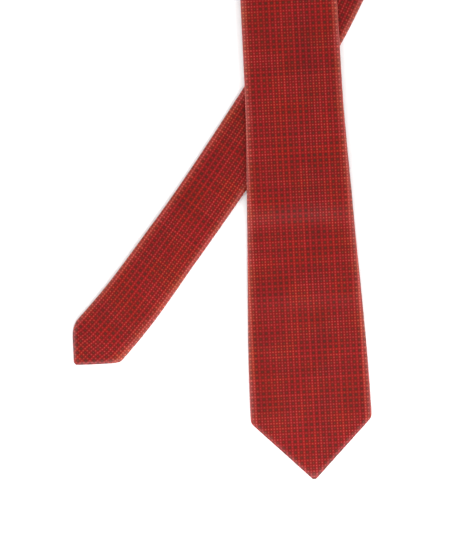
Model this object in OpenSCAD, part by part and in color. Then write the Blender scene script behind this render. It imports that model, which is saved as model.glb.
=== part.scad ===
// Necktie lying face up on a table: the blade crosses over the tail, and the neck band stands
// on its edge in a loop behind the crossing. Millimetres, +Z up, +Y towards the neck loop.
//
// Every layer is placed by point(s, u, n). s runs along the tie from the blade's tip to the
// tail's tip, u runs across it to the right of the front face, and n runs through it from the
// back to the front.

/* [Blade] */
// Width of the blade across its shoulders
blade_w = 85; // [62:0.5:102]
// Width of the blade where it passes over the tail
blade_mid_w = 68.6; // [50:0.5:84]
// Length of the blade from its tip to the crossing
blade_len = 289.5; // [266:0.5:348]

/* [Neck] */
// Width of the neck band
neck_w = 34; // [27:0.5:41]
// Length of the neck loop, from the crossing round to the crossing
loop_len = 922; // [768:1:1106]

/* [Tail] */
// Width of the tail across its shoulders
tail_w = 42.4; // [35:0.1:51]
// Narrowest width of the tail, above its shoulders
tail_waist_w = 40.4; // [33:0.1:48]
// Length of the tail from its tip to the crossing
tail_len = 258.5; // [241:0.5:310]

/* [Layers] */
// Thickness of the silk cloth
cloth_t = 0.4; // [0.3:0.02:0.5]
// Thickness of the wool interlining
interlining_t = 1; // [0.7:0.05:1.3]
// Thickness of the tipping, the lining behind each point
tipping_t = 0.15; // [0.1:0.01:0.25]
// Diameter of the slip stitch thread
thread_d = 0.3; // [0.2:0.02:0.4]

/* [Back] */
// Width of the hem along each side of the blade's point
hem_w = 14; // [10:0.5:18]
// Distance from the blade's tip to where its back seam starts
blade_open_len = 103; // [90:0.5:124]
// Width of the keeper loop, along the tie
keeper_w = 12; // [8:0.5:16]
// Length of the keeper loop, across the tie
keeper_len = 52; // [40:0.5:64]
// Length of the blank label, across the tie
label_len = 46; // [30:0.5:54]
// Width of the blank label, along the tie
label_w = 17; // [10:0.5:18]

/* [Lie] */
// Direction of the blade, anticlockwise from +X
blade_turn = 93.1; // [90:0.1:96]
// Direction of the tail at the crossing, towards the neck
tail_turn = 57; // [54:0.1:61]
// Direction of the tail at its tip, towards the neck
tail_end_turn = 46.3; // [43:0.1:51]
// Direction of the straight leg between the tail and the neck loop
leg_turn = 64.4; // [61.4:0.1:67]
// How far the neck band leans from flat, where it stands on its edge
neck_roll = 84; // [70:1:90]

/* [Hidden] */
STEP = 2;                      // spacing of the points on the tie's centre line
GAP = 0.05;                    // clearance between one layer and the next
EDGE_GAP = 0.3;                // clearance between the blade and the tail under it
FOLD_GAP = 0.3;                // gap between shells of different bodies at a fold line
KEEPER_SLACK = 0.35;           // height of the slack in the keeper loop
bend_len = 60;                 // length over which the tail bends into its straight leg
total_len = blade_len + loop_len + tail_len;
tail_cross = blade_len + loop_len;

// Levels through the tie, from its back face up
thread_n = cloth_t + GAP + thread_d / 2;
flap_rise = cloth_t + thread_d + 2 * GAP;
tipping_n = flap_rise + cloth_t + GAP;
wool_n = tipping_n + tipping_t + GAP;
front_n = wool_n + interlining_t + GAP;
thick = front_n + cloth_t;
crown = 0.4;                   // extra height of the front along the centre
roll_r = thick / 2;            // radius of the rolled edges
over = 4;                      // overlap of the two back flaps past the centre

// ---- smooth values between stations ----

function smooth(t) = let (c = min(max(t, 0), 1)) c * c * (3 - 2 * c);
function ramp(x, from, to) = smooth((x - from) / (to - from));
function rise(list, i) = (list[i + 1][1] - list[i][1]) / (list[i + 1][0] - list[i][0]);
function tangent(list, i) =
    i == 0 || i == len(list) - 1 ? 0
    : let (a = rise(list, i - 1), b = rise(list, i)) a * b <= 0 ? 0 : 2 * a * b / (a + b);
function between(list, x, i = 0) =
    x <= list[0][0] ? list[0][1]
    : i >= len(list) - 1 ? list[len(list) - 1][1]
    : x > list[i + 1][0] ? between(list, x, i + 1)
    : let (w = list[i + 1][0] - list[i][0], t = (x - list[i][0]) / w)
      (1 + 2 * t) * (1 - t) * (1 - t) * list[i][1] + t * t * (3 - 2 * t) * list[i + 1][1]
      + t * (1 - t) * (1 - t) * w * tangent(list, i)
      - t * t * (1 - t) * w * tangent(list, i + 1);
function sum(list, i = 0, total = [0, 0]) =
    i == len(list) ? total : sum(list, i + 1, total + list[i]);
function facing(a) = [cos(a), sin(a)];

// ---- the centre line ----

// The neck loop leaves the crossing along the blade, turns, and comes back along the tail's
// leg. Its three lengths are solved so that it closes on the crossing at any loop_len.
turned = blade_turn - leg_turn + 180;
function turn_share(t) = t - sin(360 * t) / 360 * 180 / PI;
SLICES = 200;
arc_way = sum([for (i = [0:SLICES - 1])
    facing(blade_turn - turned * turn_share((i + 0.5) / SLICES))]) / SLICES;
bend_way = bend_len * sum([for (i = [0:SLICES - 1])
    facing(tail_turn + (leg_turn - tail_turn) * (i + 0.5) / SLICES)]) / SLICES;
way_a = concat(facing(blade_turn), 1);
way_b = concat(arc_way, 1);
way_c = concat(-facing(leg_turn), 1);
goal = concat(bend_way, loop_len - bend_len);
solver = way_a * cross(way_b, way_c);
blade_leg = goal * cross(way_b, way_c) / solver;
arc_len = way_a * cross(goal, way_c) / solver;

// How far from the crossing the blade is over the tail, and the tail under the blade
crossing_turn = blade_turn - tail_turn;
blade_reach = (blade_mid_w / 2 * cos(crossing_turn) + tail_waist_w / 2 + 1)
    / sin(crossing_turn);
tail_reach = (tail_waist_w / 2 * cos(crossing_turn) + blade_mid_w / 2) / sin(crossing_turn);

// Fold lines
end_fold = blade_open_len + 15;
middle_fold = blade_len - blade_reach - 12;
tail_fold = tail_cross + tail_reach + 9;
leg_fold = 150;                // from the crossing, along the loop's own direction
loop_turn = (blade_turn + leg_turn) / 2;
leg_slope = cos(blade_turn - loop_turn);
blade_leg_fold = blade_len + leg_fold / leg_slope;
tail_leg_fold = tail_cross - bend_len - (leg_fold - bend_way * facing(loop_turn)) / leg_slope;

// Seams that join the neck piece to the blade and the tail
blade_seam = blade_len + 0.47 * loop_len;
tail_seam = blade_len + 0.72 * loop_len;

TAIL_BEND = 2.3;               // over 1, the tail bends more towards its tip
function heading(s) =
    let (x = s - blade_len, back = leg_turn - 180, c = (s - tail_cross) / tail_len)
    x <= blade_leg ? blade_turn
    : x <= blade_leg + arc_len ? blade_turn - turned * turn_share((x - blade_leg) / arc_len)
    : s <= tail_cross - bend_len ? back
    : s <= tail_cross
      ? back - (leg_turn - tail_turn) * (s - tail_cross + bend_len) / bend_len
    : tail_turn - 180 - (tail_turn - tail_end_turn) * pow(min(c, 1), TAIL_BEND);

steps = ceil(total_len / STEP) + 2;
track = [for (i = 0, p = -blade_len * facing(blade_turn); i <= steps;
    p = p + STEP * facing(heading((i + 0.5) * STEP)), i = i + 1) p];
function spine(s) =
    let (i = min(max(floor(s / STEP), 0), steps - 1))
    track[i] + (track[i + 1] - track[i]) * (s / STEP - i);

// ---- widths, lift and roll along the tie ----

widths = [
    [blade_w / 2, blade_w],
    [blade_len - 88, blade_mid_w + 5],
    [blade_len - 18, blade_mid_w],
    [blade_len + 55, blade_mid_w - 1],
    [blade_len + 0.2 * loop_len, (blade_mid_w + neck_w) / 2 + 4],
    [blade_len + 0.45 * loop_len, neck_w + 1],
    [blade_len + 0.7 * loop_len, neck_w],
    [tail_cross - 75, tail_waist_w + 1],
    [tail_cross, tail_waist_w + 1.5],
    [total_len - 130, tail_waist_w],
    [total_len - tail_w / 2, tail_w]
];
function half_width(s) = between(widths, s) / 2;
// The tail's point is a little off its centre line
tip_shift = -1.5;
function shift(s) = tip_shift * ramp(s, total_len - 110, total_len - 45);
BLUNT = 1.2;                   // half width of a point at its very end
blade_shoulder = blade_w / 2 - BLUNT;
tail_shoulders = [for (side = [-1, 1]) tail_w / 2 + side * abs(tip_shift) - BLUNT];
function right_half(s) =
    min(half_width(s) + shift(s), s + BLUNT, total_len - s + BLUNT);
function left_half(s) =
    min(half_width(s) - shift(s), s + BLUNT, total_len - s + BLUNT);

lay_gap = 0.35;                // room under the back for labels and bar tacks
keeper_room = 2 * cloth_t + KEEPER_SLACK + 0.35;
lifts = [
    [blade_open_len - 30, 0],
    [blade_open_len, lay_gap + 0.1],
    [end_fold, lay_gap + 0.3],
    [end_fold + 14, keeper_room],
    [middle_fold - 18, keeper_room],
    [middle_fold, thick + crown + EDGE_GAP],
    [blade_len + 1.24 * blade_reach, thick + crown + EDGE_GAP],
    [blade_leg_fold - 4, 0],
    [total_len - 142, 0],
    [total_len - 115, lay_gap],
    [total_len - 60, lay_gap],
    [total_len - 34, 0]
];
function lift(s) = between(lifts, s);
twist_len = 0.2 * loop_len;
function roll(s) = neck_roll
    * ramp(s, blade_leg_fold + 6, blade_leg_fold + twist_len)
    * (1 - ramp(s, tail_leg_fold - twist_len, tail_leg_fold - 6));

// Rings of points are square to the centre line, but slant along the fold line of the neck
// and along the two neck seams, which are sewn at 45 degrees.
function bump(s, at, reach) = 1 - ramp(abs(s - at), 0, reach);
function slant(s) =
    -tan(blade_turn - loop_turn) * bump(s, blade_leg_fold, 60)
    + tan(loop_turn - leg_turn) * bump(s, tail_leg_fold, 60)
    + bump(s, blade_seam, 46) + bump(s, tail_seam, 46);

function place(s, u, n) =
    let (a = heading(s), r = roll(s), side = facing(a - 90), m = n - roll_r,
         z = (half_width(s) - roll_r) * sin(r) + roll_r + lift(s))
    concat(spine(s) + side * (u * cos(r) - m * sin(r)), z + u * sin(r) + m * cos(r));
function slanted(s, u, n) = place(s + slant(s) * u, u, n);

// The origin is the middle of the footprint
outline = [for (i = [0:10:total_len], e = [-1, 1], n = [0, thick])
    slanted(i, e * (e > 0 ? right_half(i) : left_half(i)), n)];
xs = concat([for (p = outline) p.x], spine(0).x);
ys = concat([for (p = outline) p.y], spine(0).y);
middle = [max(xs) + min(xs), max(ys) + min(ys)] / 2;
function point(s, u, n) = slanted(s, u, n) - concat(middle, 0);

// ---- sections across the tie ----

function edge_r(s) = min(roll_r, 0.6 * min(left_half(s), right_half(s)));
function crown_at(s, u) =
    let (h = min(left_half(s), right_half(s)), t = u / h)
    crown * min(h / 20, 1) * max(1 - t * t, 0);
// Half width of the gap between the back flaps: a hem at the point, a kite, then an overlap
SLIT = 0.15;                   // half width of the slit between hems that meet
function flap_gap(s, w, hem, open_len) =
    let (closed = hem * sqrt(2), corner = w / 2 + 2.5)
    s <= corner ? max(SLIT, s - closed)
    : s <= open_len ? SLIT + (corner - closed) * (open_len - s) / (open_len - corner)
    : SLIT - (over + SLIT) * ramp(s, open_len + 2, open_len + 12);
tail_hem_w = 9;
tail_open_len = 58;
function gap_at(s) =
    s < total_len / 2 ? flap_gap(s, blade_w, hem_w, blade_open_len)
    : flap_gap(total_len - s, tail_w, tail_hem_w, tail_open_len);
function raised(s, u) =
    let (d = min(s - blade_open_len, total_len - s - tail_open_len))
    flap_rise * ramp(d, -8, 1) * ramp(u, -over - 7.5, -over - 1.5);

// Places across the right flap, from its free edge at g to its rolled edge at a. The second one
// is on the centre line, beside the slip stitch.
function share(from, to, t) = from + (to - from) * t;
function right_places(a, g) = let (c = max(0, share(g, a, 0.1))) [g, c, (c + a) / 2, a];
// Places across the left flap, from its rolled edge at b to its free edge at g. The flap climbs
// over the right one from m to k, and c is on the centre line.
function left_places(b, g) =
    let (m = min(max(over + 7.5, share(g, b, 0.35)), share(g, b, 0.7)),
         k = min(max(over + 1.5, share(g, m, 0.3)), share(g, m, 0.65)),
         c = min(max(0, share(g, k, 0.3)), share(g, k, 0.7)))
    [b, (b + m) / 2, m, k, c, g];

// A cloth section: out from the right flap's free edge, round the front, and back in to the
// left flap's free edge. inside is 0 for the outer face and cloth_t for the inner face.
function section(s, inside) =
    let (r = edge_r(s), rr = r - inside, a = right_half(s) - r, b = left_half(s) - r,
         g = gap_at(s), top = 2 * r)
    concat(
        [for (u = right_places(a, g)) [u, inside]],
        [for (q = [-45, 0, 45]) [a + rr * cos(q), r + rr * sin(q)]],
        [for (t = [0:6]) let (u = a - (a + b) * t / 6) [u, top - inside + crown_at(s, u)]],
        [for (q = [135, 180, 225]) [-b + rr * cos(q), r + rr * sin(q)]],
        [for (u = left_places(b, g)) [-u, inside + raised(s, -u)]]
    );

// ---- solids ----

function ring(s, path) = [for (p = path) point(s, p[0], p[1])];
function flat_list(rows) = [for (r = rows) each r];
// Places of the rings from a up to b, at most gap apart, with every corner between them
function stations(a, b, gap) =
    let (marks = concat([a], [for (c = corners) if (c > a + 1 && c < b - 1) c], [b]))
    [for (i = [0:len(marks) - 2]) let (k = ceil((marks[i + 1] - marks[i]) / gap))
        each [for (j = [0:k - 1]) marks[i] + (marks[i + 1] - marks[i]) * j / k]];
label_s = end_fold + 7;
keeper_s = label_s + label_w + 6;
// Where the section changes: along the two points, where the back seam starts, and at the edges
// of the label and the keeper loop
corners = concat(
    [4, 10, hem_w * sqrt(2), blade_shoulder, blade_w / 2 + 2.5],
    [for (d = [-8, 0, 6, 12]) blade_open_len + d],
    [label_s, label_s + label_w, keeper_s, keeper_s + keeper_w],
    [for (d = [tail_open_len + 12, tail_open_len + 6, tail_open_len, tail_open_len - 8,
        tail_w / 2 + 2.5, tail_shoulders[1], tail_shoulders[0], tail_hem_w * sqrt(2), 8, 4])
        total_len - d]);
// Each stretch of the tie, with the greatest distance between its rings
stretches = [
    [0, end_fold, 22], [end_fold, middle_fold, 12], [middle_fold, blade_leg_fold, 22],
    [blade_leg_fold, blade_seam, 8], [blade_seam, tail_seam, 9], [tail_seam, tail_leg_fold, 8],
    [tail_leg_fold, tail_fold, 24], [tail_fold, total_len, 18]
];
all_rings = [for (p = stretches) each stations(p[0], p[1], p[2])];
// Every layer takes its rings from the same list, so that layers bend and twist alike
function rings_between(a, b) = concat([a], [for (s = all_rings) if (s > a + 0.9 && s < b - 0.9) s], [b]);

// A closed solid between two matching grids of points
module slab(front, back) {
    rows = len(front);
    cols = len(front[0]);
    half = rows * cols;
    function at(i, j, side) = side * half + j * cols + i;
    function quad(a, b, c, d) = [[a, b, c], [a, c, d]];
    faces = concat(
        [for (j = [0:rows - 2], i = [0:cols - 2])
            each quad(at(i, j, 0), at(i + 1, j, 0), at(i + 1, j + 1, 0), at(i, j + 1, 0))],
        [for (j = [0:rows - 2], i = [0:cols - 2])
            each quad(at(i, j, 1), at(i, j + 1, 1), at(i + 1, j + 1, 1), at(i + 1, j, 1))],
        [for (i = [0:cols - 2]) each quad(at(i, 0, 0), at(i, 0, 1), at(i + 1, 0, 1), at(i + 1, 0, 0))],
        [for (i = [0:cols - 2]) each quad(at(i, rows - 1, 0), at(i + 1, rows - 1, 0),
            at(i + 1, rows - 1, 1), at(i, rows - 1, 1))],
        [for (j = [0:rows - 2]) each quad(at(0, j, 0), at(0, j + 1, 0), at(0, j + 1, 1), at(0, j, 1))],
        [for (j = [0:rows - 2]) each quad(at(cols - 1, j, 0), at(cols - 1, j, 1),
            at(cols - 1, j + 1, 1), at(cols - 1, j + 1, 0))]
    );
    polyhedron(concat(flat_list(front), flat_list(back)), faces, convexity = 10);
}

// The rolled silk cloth from a to b
module shell(a, b) {
    rings = rings_between(a, b);
    slab([for (s = rings) ring(s, section(s, 0))], [for (s = rings) ring(s, section(s, cloth_t))]);
}

// A flat inner layer from a to b, in levels low to low + t, set in from the edges
module layer(a, b, low, t, inset, crowned) {
    rings = rings_between(a, b);
    function strip(s, n) =
        let (a = right_half(s) - inset, b = left_half(s) - inset)
        [for (i = [0:6]) let (u = a - (a + b) * i / 6)
            point(s, u, n + (crowned ? crown_at(s, u) * 0.8 : 0))];
    slab([for (s = rings) strip(s, low + t)], [for (s = rings) strip(s, low)]);
}

// A patch on the back, across u0 to u1, that stands off the back by under, with a flat middle
module patch(s0, s1, u0, u1, under, t, arch = 0) {
    function strip(s, n) =
        [for (i = [0:6]) let (q = i / 6, rise = arch * ramp(min(q, 1 - q), 0.04, 0.3))
            point(s, u1 + (u0 - u1) * q, n - rise)];
    rings = rings_between(s0, s1);
    slab([for (s = rings) strip(s, -under)], [for (s = rings) strip(s, -under - t)]);
}

// A thread along a list of [s, u, n] places
module thread(route, d, sides = 6) {
    centre = [for (p = route) point(p[0], p[1], p[2])];
    last = len(centre) - 1;
    function unit(v) = v / norm(v);
    function along(i) = unit(centre[min(i + 1, last)] - centre[max(i - 1, 0)]);
    function loop_at(i) =
        let (t = along(i), a = unit(cross(t, abs(t.z) > 0.9 ? [1, 0, 0] : [0, 0, 1])), b = cross(t, a))
        [for (k = [0:sides - 1])
            centre[i] + d / 2 * (a * cos(360 * k / sides) + b * sin(360 * k / sides))];
    rings = [for (i = [0:last]) loop_at(i)];
    faces = concat(
        [for (i = [0:last - 1], k = [0:sides - 1])
            let (m = (k + 1) % sides, p = i * sides)
            each [[p + k, p + sides + k, p + sides + m], [p + k, p + sides + m, p + m]]],
        [[for (k = [0:sides - 1]) k]],
        [[for (k = [sides - 1:-1:0]) last * sides + k]]
    );
    polyhedron(flat_list(rings), faces, convexity = 10);
}
module slip_stitch(a, b) {
    thread([for (s = rings_between(a + 0.4, b - 0.4)) [s, 0, thread_n]], thread_d);
}
// The thread that joins two panels runs round the outside of the section
module joining_seam(s) {
    path = section(s, cloth_t / 2);
    thread([for (p = path) [s, p[0], p[1]]], thread_d);
}

silk = "firebrick";
wool = "ivory";
lining = "maroon";
yarn = "darkred";

SEAM = 0.22;                   // half the groove that a joining seam's thread lies in
module blade_shell_end() color(silk) shell(0, end_fold - FOLD_GAP / 2);
module blade_shell_middle() color(silk) shell(end_fold + FOLD_GAP / 2, middle_fold - FOLD_GAP / 2);
module blade_shell_crossing() color(silk)
    shell(middle_fold + FOLD_GAP / 2, blade_leg_fold - FOLD_GAP / 2);
module blade_shell_neck() color(silk) shell(blade_leg_fold + FOLD_GAP / 2, blade_seam - SEAM);
module neck_shell() color(silk) shell(blade_seam + SEAM, tail_seam - SEAM);
module tail_shell_neck() color(silk) shell(tail_seam + SEAM, tail_leg_fold - FOLD_GAP / 2);
module tail_shell_crossing() color(silk) shell(tail_leg_fold + FOLD_GAP / 2, tail_fold - FOLD_GAP / 2);
module tail_shell_end() color(silk) shell(tail_fold + FOLD_GAP / 2, total_len);

WOOL_INSET = 1.8;
TWIST_GAP = 0.1;               // extra clearance above and below the wool where the neck twists
module wool_layer(a, b, extra = 0) color(wool)
    layer(a, b, wool_n + extra, interlining_t - 2 * extra, WOOL_INSET, true);
module blade_interlining_end() wool_layer(8, end_fold - FOLD_GAP / 2);
module blade_interlining_middle() wool_layer(end_fold + FOLD_GAP / 2, middle_fold - FOLD_GAP / 2);
module blade_interlining_crossing()
    wool_layer(middle_fold + FOLD_GAP / 2, blade_leg_fold - FOLD_GAP / 2);
module neck_interlining()
    wool_layer(blade_leg_fold + FOLD_GAP / 2, tail_leg_fold - FOLD_GAP / 2, TWIST_GAP);
module tail_interlining_crossing() wool_layer(tail_leg_fold + FOLD_GAP / 2, tail_fold - FOLD_GAP / 2);
module tail_interlining_end() wool_layer(tail_fold + FOLD_GAP / 2, total_len - 8);

module blade_tipping() color(lining) layer(8, end_fold - 2, tipping_n, tipping_t, 2, false);
module tail_tipping() color(lining)
    layer(total_len - 72, total_len - 8, tipping_n, tipping_t, 2, false);

module keeper_loop() color(silk)
    patch(keeper_s, keeper_s + keeper_w, -keeper_len / 2, keeper_len / 2, GAP, 2 * cloth_t,
        KEEPER_SLACK);
module keeper_stitches() color(yarn)
    for (side = [-1, 1], k = [0:3])
        patch(keeper_s + keeper_w * (0.14 + 0.2 * k), keeper_s + keeper_w * (0.26 + 0.2 * k),
            side * (keeper_len / 2 - 1.4) - 1, side * (keeper_len / 2 - 1.4) + 1,
            2 * cloth_t + 2 * GAP, 0.2);
module maker_label() color("black")
    patch(label_s, label_s + label_w, -label_len / 2, label_len / 2, GAP, 0.25);
module label_stitches() color(yarn)
    for (side = [-1, 1], k = [0:4])
        patch(label_s + label_w * (0.08 + 0.18 * k), label_s + label_w * (0.16 + 0.18 * k),
            side * (label_len / 2 - 1.6) - 0.8, side * (label_len / 2 - 1.6) + 0.8,
            0.25 + 4 * GAP, 0.15);
module care_label() color("white")
    patch(total_len - 108, total_len - 88, -15, 15, GAP, 0.2);

// Small stitches along the inner edge of both hems of a point
module hem_stitches(w, hem, tail) {
    first = hem * sqrt(2) + 2;
    count = floor((w / 2 - first) / 2.6);
    for (side = [-1, 1], k = [0:count - 1])
        let (s = first + 2.6 * k, u = s - hem * sqrt(2) + 1.4, at = tail ? total_len - s : s)
        thread([[at, side * u, cloth_t + GAP + 0.12],
            [at + (tail ? -1 : 1) * 1.2, side * (u + 1.2), cloth_t + GAP + 0.12]], 0.2);
}
module blade_hem_stitches() color(yarn) hem_stitches(blade_w, hem_w, false);
module tail_hem_stitches() color(yarn) hem_stitches(tail_w, tail_hem_w, true);

module blade_bar_tack() color(yarn)
    patch(blade_open_len + 1, blade_open_len + 3.4, -4.5, 4.5, GAP, 0.28);
module tail_bar_tack() color(yarn)
    patch(total_len - tail_open_len - 3.4, total_len - tail_open_len - 1, -4, 4, GAP, 0.28);

// The slip stitch ends in a slack loop of thread inside the blade's opening
module slip_stitch_end() color(yarn) {
    top = end_fold - 0.5;
    low = blade_open_len - 12;
    thread([[top, 0, thread_n], [blade_open_len + 12, 0, thread_n],
        [blade_open_len + 6, 0, thread_n], [blade_open_len + 2, 0, thread_n],
        [low + 9, 1.2, thread_n], [low + 3, -2.4, thread_n], [low, -1.4, thread_n],
        [low - 0.6, 0.4, thread_n], [low + 1.5, 1.8, thread_n], [low + 6, 2.8, thread_n],
        [low + 8.5, 3.2, thread_n]], thread_d);
}
module slip_stitch_middle() color(yarn) slip_stitch(end_fold, middle_fold);
module slip_stitch_crossing() color(yarn) slip_stitch(middle_fold, blade_leg_fold);
module slip_stitch_neck() color(yarn) slip_stitch(blade_leg_fold, tail_leg_fold);
module slip_stitch_tail_crossing() color(yarn) slip_stitch(tail_leg_fold, tail_fold);
module slip_stitch_tail_end() color(yarn) slip_stitch(tail_fold, total_len - tail_open_len - 2);
module blade_neck_seam() color(yarn) joining_seam(blade_seam);
module tail_neck_seam() color(yarn) joining_seam(tail_seam);

blade_shell_end();
blade_shell_middle();
blade_shell_crossing();
blade_shell_neck();
neck_shell();
tail_shell_neck();
tail_shell_crossing();
tail_shell_end();
blade_interlining_end();
blade_interlining_middle();
blade_interlining_crossing();
neck_interlining();
tail_interlining_crossing();
tail_interlining_end();
blade_tipping();
tail_tipping();
keeper_loop();
keeper_stitches();
maker_label();
label_stitches();
care_label();
blade_hem_stitches();
tail_hem_stitches();
blade_bar_tack();
tail_bar_tack();
slip_stitch_end();
slip_stitch_middle();
slip_stitch_crossing();
slip_stitch_neck();
slip_stitch_tail_crossing();
slip_stitch_tail_end();
blade_neck_seam();
tail_neck_seam();
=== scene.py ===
import math

import bpy
import numpy as np
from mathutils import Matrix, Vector


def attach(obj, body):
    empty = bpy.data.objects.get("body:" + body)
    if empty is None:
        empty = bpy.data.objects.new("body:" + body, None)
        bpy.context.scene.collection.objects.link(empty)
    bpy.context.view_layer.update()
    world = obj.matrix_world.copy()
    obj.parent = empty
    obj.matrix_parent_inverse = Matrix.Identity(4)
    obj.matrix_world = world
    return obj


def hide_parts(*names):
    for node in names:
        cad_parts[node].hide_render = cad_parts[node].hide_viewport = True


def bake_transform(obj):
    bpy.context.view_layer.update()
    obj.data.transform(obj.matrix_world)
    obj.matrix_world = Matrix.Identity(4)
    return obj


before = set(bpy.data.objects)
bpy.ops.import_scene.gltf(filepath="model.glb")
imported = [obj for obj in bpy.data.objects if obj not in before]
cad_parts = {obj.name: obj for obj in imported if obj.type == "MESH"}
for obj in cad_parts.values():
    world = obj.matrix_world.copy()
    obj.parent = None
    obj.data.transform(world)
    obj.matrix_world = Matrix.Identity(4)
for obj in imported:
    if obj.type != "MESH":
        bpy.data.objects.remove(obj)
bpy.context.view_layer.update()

# A necktie on a table: its blade crosses over its tail, and its neck band stands on its edge in
# a loop behind the crossing. Sizes are in millimetres until a mesh is made. s runs along the tie
# from the blade's tip to the tail's tip, u runs across it to the right of the front face, and n
# runs through it from the back to the front.
MM = 0.001

BLADE_W = 85
BLADE_MID_W = 68.6
BLADE_LEN = 289.5
NECK_W = 34
LOOP_LEN = 922
TAIL_W = 42.4
TAIL_WAIST_W = 40.4
TAIL_LEN = 258.5
CLOTH_T = 0.4
WOOL_T = 1
TIPPING_T = 0.15
THREAD_D = 0.3
HEM_W = 14
BLADE_OPEN_LEN = 103
KEEPER_W = 12
KEEPER_LEN = 52
LABEL_LEN = 46
LABEL_W = 17
BLADE_TURN = 93.1
TAIL_TURN = 57
TAIL_END_TURN = 46.3
TAIL_BEND = 2.3
LEG_TURN = 64.4
NECK_ROLL = 84

STEP = 2
GAP = 0.05
EDGE_GAP = 0.3
KEEPER_SLACK = 0.35
BEND_LEN = 60
TAIL_CROSS = BLADE_LEN + LOOP_LEN
TOTAL_LEN = TAIL_CROSS + TAIL_LEN
TAIL_HEM_W = 9
TAIL_OPEN_LEN = 58

# Levels through the tie, from its back face up
THREAD_N = CLOTH_T + GAP + THREAD_D / 2
FLAP_RISE = CLOTH_T + THREAD_D + 2 * GAP
TIPPING_N = FLAP_RISE + CLOTH_T + GAP
WOOL_N = TIPPING_N + TIPPING_T + GAP
FRONT_N = WOOL_N + WOOL_T + GAP
THICK = FRONT_N + CLOTH_T
CROWN = 0.4
ROLL_R = THICK / 2
OVERLAP = 4


# ---- smooth values between stations ----

def smooth(t):
    c = np.clip(t, 0, 1)
    return c * c * (3 - 2 * c)


def ramp(x, start, end):
    return smooth((x - start) / (end - start))


def between(stations, x):
    """A smooth curve through the stations, with no overshoot."""
    at, value = np.array(stations, float).T
    width = np.diff(at)
    rise = np.diff(value) / width
    slope = np.zeros(len(at))
    for i in range(1, len(at) - 1):
        if rise[i - 1] * rise[i] > 0:
            slope[i] = 2 * rise[i - 1] * rise[i] / (rise[i - 1] + rise[i])
    x = np.clip(np.asarray(x, float), at[0], at[-1])
    i = np.clip(np.searchsorted(at, x, side="right") - 1, 0, len(width) - 1)
    t = (x - at[i]) / width[i]
    return ((1 + 2 * t) * (1 - t) ** 2 * value[i] + t * t * (3 - 2 * t) * value[i + 1]
            + t * (1 - t) ** 2 * width[i] * slope[i] - t * t * (1 - t) * width[i] * slope[i + 1])


def facing(degrees):
    a = np.radians(degrees)
    return np.stack([np.cos(a), np.sin(a)], -1)


# ---- the centre line ----

# The neck loop leaves the crossing along the blade, turns, and comes back along the tail's leg.
# Its lengths are solved so that it closes on the crossing.
TURNED = BLADE_TURN - LEG_TURN + 180


def turn_share(t):
    return t - np.sin(2 * np.pi * t) / (2 * np.pi)


slices = (np.arange(200) + 0.5) / 200
arc_way = facing(BLADE_TURN - TURNED * turn_share(slices)).mean(0)
bend_way = BEND_LEN * facing(TAIL_TURN + (LEG_TURN - TAIL_TURN) * slices).mean(0)
leaving = np.array([[*facing(BLADE_TURN), 1], [*arc_way, 1], [*-facing(LEG_TURN), 1]]).T
BLADE_LEG, ARC_LEN, _ = np.linalg.solve(leaving, [*bend_way, LOOP_LEN - BEND_LEN])

# How far from the crossing the blade is over the tail, and the tail is under the blade
crossing_angle = math.radians(BLADE_TURN - TAIL_TURN)
BLADE_REACH = ((BLADE_MID_W / 2 * math.cos(crossing_angle) + TAIL_WAIST_W / 2 + 1)
               / math.sin(crossing_angle))
TAIL_REACH = ((TAIL_WAIST_W / 2 * math.cos(crossing_angle) + BLADE_MID_W / 2)
              / math.sin(crossing_angle))

# Fold lines, and the seams that join the neck piece to the blade and the tail
END_FOLD = BLADE_OPEN_LEN + 15
MIDDLE_FOLD = BLADE_LEN - BLADE_REACH - 12
TAIL_FOLD = TAIL_CROSS + TAIL_REACH + 9
LEG_FOLD = 150
LOOP_TURN = (BLADE_TURN + LEG_TURN) / 2
leg_slope = math.cos(math.radians(BLADE_TURN - LOOP_TURN))
BLADE_LEG_FOLD = BLADE_LEN + LEG_FOLD / leg_slope
TAIL_LEG_FOLD = TAIL_CROSS - BEND_LEN - (LEG_FOLD - bend_way @ facing(LOOP_TURN)) / leg_slope
BLADE_SEAM = BLADE_LEN + 0.47 * LOOP_LEN
TAIL_SEAM = BLADE_LEN + 0.72 * LOOP_LEN


def heading(s):
    s = np.asarray(s, float)
    x = s - BLADE_LEN
    back = LEG_TURN - 180
    past = np.clip((s - TAIL_CROSS) / TAIL_LEN, 0, 1)
    return np.select(
        [x <= BLADE_LEG, x <= BLADE_LEG + ARC_LEN, s <= TAIL_CROSS - BEND_LEN, s <= TAIL_CROSS],
        [BLADE_TURN + 0 * s,
         BLADE_TURN - TURNED * turn_share((x - BLADE_LEG) / ARC_LEN),
         back + 0 * s,
         back - (LEG_TURN - TAIL_TURN) * (s - TAIL_CROSS + BEND_LEN) / BEND_LEN],
        TAIL_TURN - 180 - (TAIL_TURN - TAIL_END_TURN) * past ** TAIL_BEND)


track_s = np.arange(math.ceil(TOTAL_LEN / STEP) + 2) * STEP
track = np.vstack([[0, 0], np.cumsum(STEP * facing(heading(track_s[:-1] + STEP / 2)), axis=0)])
track = track - BLADE_LEN * facing(BLADE_TURN)


def spine(s):
    return np.stack([np.interp(s, track_s, track[:, 0]), np.interp(s, track_s, track[:, 1])], -1)


# ---- widths, lift and roll along the tie ----

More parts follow.
